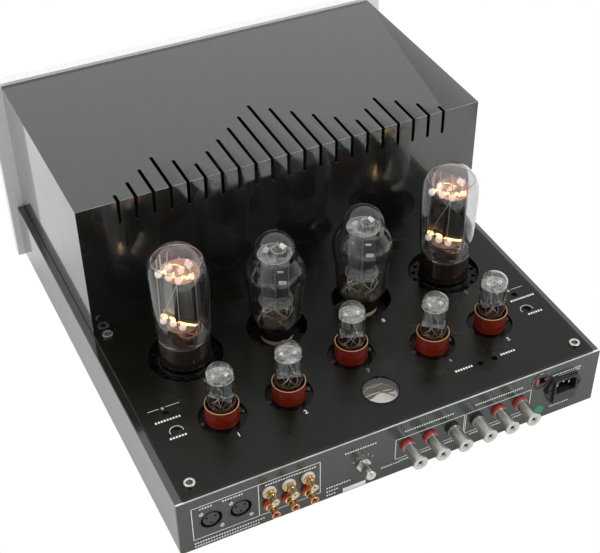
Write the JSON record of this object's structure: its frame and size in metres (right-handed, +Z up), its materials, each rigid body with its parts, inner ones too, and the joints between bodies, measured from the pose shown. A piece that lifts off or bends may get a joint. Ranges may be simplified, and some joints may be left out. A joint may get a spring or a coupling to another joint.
{
  "type": "stereo tube amplifier",
  "caption": "Tube amplifier with large and small glass tubes on an open deck, a slotted transformer cover, a thick front panel and a rear connector panel.",
  "frame": {"origin": "middle of the bounding box at the bottom of the feet", "axes": "+X to the right seen from the front, +Y to the back where the connectors are, +Z up"},
  "size_m": [0.466, 0.5494, 0.24],
  "materials": {
    "dark_paint": "glossy anthracite paint",
    "grey_paint": "satin grey paint with a fine grain",
    "black_paint": "glossy black paint",
    "dark_steel": "matt paint on folded sheet",
    "silver": "fine-blasted and clear anodised",
    "foot_rubber": "moulded rubber",
    "black_screws": "blackened steel",
    "core_iron": "varnished laminations and wound coil",
    "socket_metal": "gloss black on pressed steel",
    "cream_ceramic": "glazed ceramic",
    "black_plastic": "moulded black plastic",
    "nickel": "satin nickel plating",
    "gold": "gold plated",
    "insulator": "white plastic on the upper row, red on the lower",
    "red_plastic": "red plastic, two of the six collars black",
    "white_card": "printed card",
    "lens_glass": "clear flat glass",
    "board": "epoxy circuit board",
    "capacitor_sleeve": "sleeved aluminium cans",
    "blue_plastic": "moulded trimmer bodies",
    "tube_glass": "clear blown glass with metal electrodes, a flashed getter and a moulded base"
  },
  "bodies": {
    "case": {"side_walls": "dark_paint", "rear_panel": "grey_paint", "bottom_plate": "dark_steel", "deck_plate": "black_paint", "transformer_cover": "dark_paint", "front_panel": "silver", "feet": "foot_rubber", "panel_screws": "black_screws", "power_transformer": "core_iron", "output_transformers": "core_iron", "power_tube_sockets": "socket_metal", "driver_tube_sockets": "cream_ceramic", "small_tube_sockets": "black_plastic", "cage_sockets": "nickel", "xlr_sockets": "black_plastic", "rca_jacks": "gold", "rca_insulators": "insulator", "binding_posts": "nickel", "post_collars": "red_plastic", "bias_switch": "nickel", "mains_inlet": "black_plastic", "inlet_pins": "nickel", "voltage_selector": "black_plastic", "meter_case": "black_plastic", "meter_scale": "white_card", "meter_lens": "lens_glass", "supply_board": "board", "supply_capacitors": "capacitor_sleeve", "trim_pots": "blue_plastic", "deck_switches": "black_plastic", "volume_pot": "nickel", "input_switch": "nickel", "power_switch": "black_plastic"},
    "power_tube_left": {"power_tube_left": "tube_glass"},
    "power_tube_right": {"power_tube_right": "tube_glass"},
    "driver_tube_left": {"driver_tube_left": "tube_glass"},
    "driver_tube_right": {"driver_tube_right": "tube_glass"},
    "small_tube_1": {"small_tube_1": "tube_glass"},
    "small_tube_2": {"small_tube_2": "tube_glass"},
    "small_tube_3": {"small_tube_3": "tube_glass"},
    "small_tube_4": {"small_tube_4": "tube_glass"},
    "small_tube_5": {"small_tube_5": "tube_glass"},
    "volume_knob": {"volume_knob": "silver"},
    "input_knob": {"input_knob": "silver"},
    "power_button": {"power_button": "silver"},
    "bias_knob": {"bias_knob": "nickel"},
    "voltage_slider": {"voltage_slider": "red_plastic"},
    "hum_adjuster_left": {"hum_adjuster_left": "nickel"},
    "hum_adjuster_right": {"hum_adjuster_right": "nickel"},
    "bias_adjuster_left": {"bias_adjuster_left": "nickel"},
    "bias_adjuster_right": {"bias_adjuster_right": "nickel"},
    "deck_button_1": {"deck_button_1": "black_plastic"},
    "deck_button_2": {"deck_button_2": "black_plastic"},
    "post_nut_1": {"post_nut_1": "nickel"},
    "post_nut_2": {"post_nut_2": "nickel"},
    "post_nut_3": {"post_nut_3": "nickel"},
    "post_nut_4": {"post_nut_4": "nickel"},
    "post_nut_5": {"post_nut_5": "nickel"},
    "post_nut_6": {"post_nut_6": "nickel"},
    "meter_needle": {"meter_needle": "black_screws"}
  },
  "joints": [
    {"name": "power_tube_left_lift", "type": "slide", "parent": "case", "child": "power_tube_left", "axis": [0, 0, 1], "range_m": [0, 0.08]},
    {"name": "power_tube_right_lift", "type": "slide", "parent": "case", "child": "power_tube_right", "axis": [0, 0, 1], "range_m": [0, 0.08]},
    {"name": "driver_tube_left_lift", "type": "slide", "parent": "case", "child": "driver_tube_left", "axis": [0, 0, 1], "range_m": [0, 0.08]},
    {"name": "driver_tube_right_lift", "type": "slide", "parent": "case", "child": "driver_tube_right", "axis": [0, 0, 1], "range_m": [0, 0.08]},
    {"name": "small_tube_1_lift", "type": "slide", "parent": "case", "child": "small_tube_1", "axis": [0, 0, 1], "range_m": [0, 0.06]},
    {"name": "small_tube_2_lift", "type": "slide", "parent": "case", "child": "small_tube_2", "axis": [0, 0, 1], "range_m": [0, 0.06]},
    {"name": "small_tube_3_lift", "type": "slide", "parent": "case", "child": "small_tube_3", "axis": [0, 0, 1], "range_m": [0, 0.06]},
    {"name": "small_tube_4_lift", "type": "slide", "parent": "case", "child": "small_tube_4", "axis": [0, 0, 1], "range_m": [0, 0.06]},
    {"name": "small_tube_5_lift", "type": "slide", "parent": "case", "child": "small_tube_5", "axis": [0, 0, 1], "range_m": [0, 0.06]},
    {"name": "volume_turn", "type": "hinge", "parent": "case", "child": "volume_knob", "pos_m": [-0.13, -0.24975, 0.128], "axis": [0, -1, 0], "range_deg": [-150, 150]},
    {"name": "input_turn", "type": "hinge", "parent": "case", "child": "input_knob", "pos_m": [0.13, -0.24975, 0.128], "axis": [0, -1, 0], "range_deg": [-30, 60]},
    {"name": "power_button_push", "type": "slide", "parent": "case", "child": "power_button", "axis": [0, 1, 0], "range_m": [0, 0.0025], "stiffness_N_per_m": 300, "springref_m": -0.003},
    {"name": "bias_select_turn", "type": "hinge", "parent": "case", "child": "bias_knob", "pos_m": [0.04, 0.24825, 0.047], "axis": [0, 1, 0], "range_deg": [-60, 60]},
    {"name": "voltage_slide", "type": "slide", "parent": "case", "child": "voltage_slider", "axis": [-1, 0, 0], "range_m": [0, 0.0082]},
    {"name": "hum_turn_left", "type": "hinge", "parent": "case", "child": "hum_adjuster_left", "pos_m": [-0.1923, 0.14195, 0.0858], "axis": [0, 0, 1], "range_deg": [-135, 135]},
    {"name": "bias_turn_left", "type": "hinge", "parent": "case", "child": "bias_adjuster_left", "pos_m": [-0.1916, 0.16695, 0.0858], "axis": [0, 0, 1], "range_deg": [-135, 135]},
    {"name": "hum_turn_right", "type": "hinge", "parent": "case", "child": "hum_adjuster_right", "pos_m": [0.1923, 0.14195, 0.0858], "axis": [0, 0, 1], "range_deg": [-135, 135]},
    {"name": "bias_turn_right", "type": "hinge", "parent": "case", "child": "bias_adjuster_right", "pos_m": [0.1916, 0.16695, 0.0858], "axis": [0, 0, 1], "range_deg": [-135, 135]},
    {"name": "deck_button_1_push", "type": "slide", "parent": "case", "child": "deck_button_1", "axis": [0, 0, -1], "range_m": [0, 0.0015], "stiffness_N_per_m": 150, "springref_m": -0.001},
    {"name": "deck_button_2_push", "type": "slide", "parent": "case", "child": "deck_button_2", "axis": [0, 0, -1], "range_m": [0, 0.0015], "stiffness_N_per_m": 150, "springref_m": -0.001},
    {"name": "post_nut_1_turn", "type": "hinge", "parent": "case", "child": "post_nut_1", "pos_m": [-0.1342, 0.25125, 0.05], "axis": [0, 1, 0], "range_deg": [0, 720]},
    {"name": "post_nut_2_turn", "type": "hinge", "parent": "case", "child": "post_nut_2", "pos_m": [-0.1094, 0.25125, 0.05], "axis": [0, 1, 0], "range_deg": [0, 720]},
    {"name": "post_nut_3_turn", "type": "hinge", "parent": "case", "child": "post_nut_3", "pos_m": [-0.0846, 0.25125, 0.05], "axis": [0, 1, 0], "range_deg": [0, 720]},
    {"name": "post_nut_4_turn", "type": "hinge", "parent": "case", "child": "post_nut_4", "pos_m": [-0.0572, 0.25125, 0.05], "axis": [0, 1, 0], "range_deg": [0, 720]},
    {"name": "post_nut_5_turn", "type": "hinge", "parent": "case", "child": "post_nut_5", "pos_m": [-0.0324, 0.25125, 0.05], "axis": [0, 1, 0], "range_deg": [0, 720]},
    {"name": "post_nut_6_turn", "type": "hinge", "parent": "case", "child": "post_nut_6", "pos_m": [-0.0076, 0.25125, 0.05], "axis": [0, 1, 0], "range_deg": [0, 720]},
    {"name": "needle_swing", "type": "hinge", "parent": "case", "child": "meter_needle", "pos_m": [-0.002, 0.19525, 0.078], "axis": [0, 0, -1], "range_deg": [0, 80], "stiffness_Nm_per_rad": 0.0001}
  ]
}
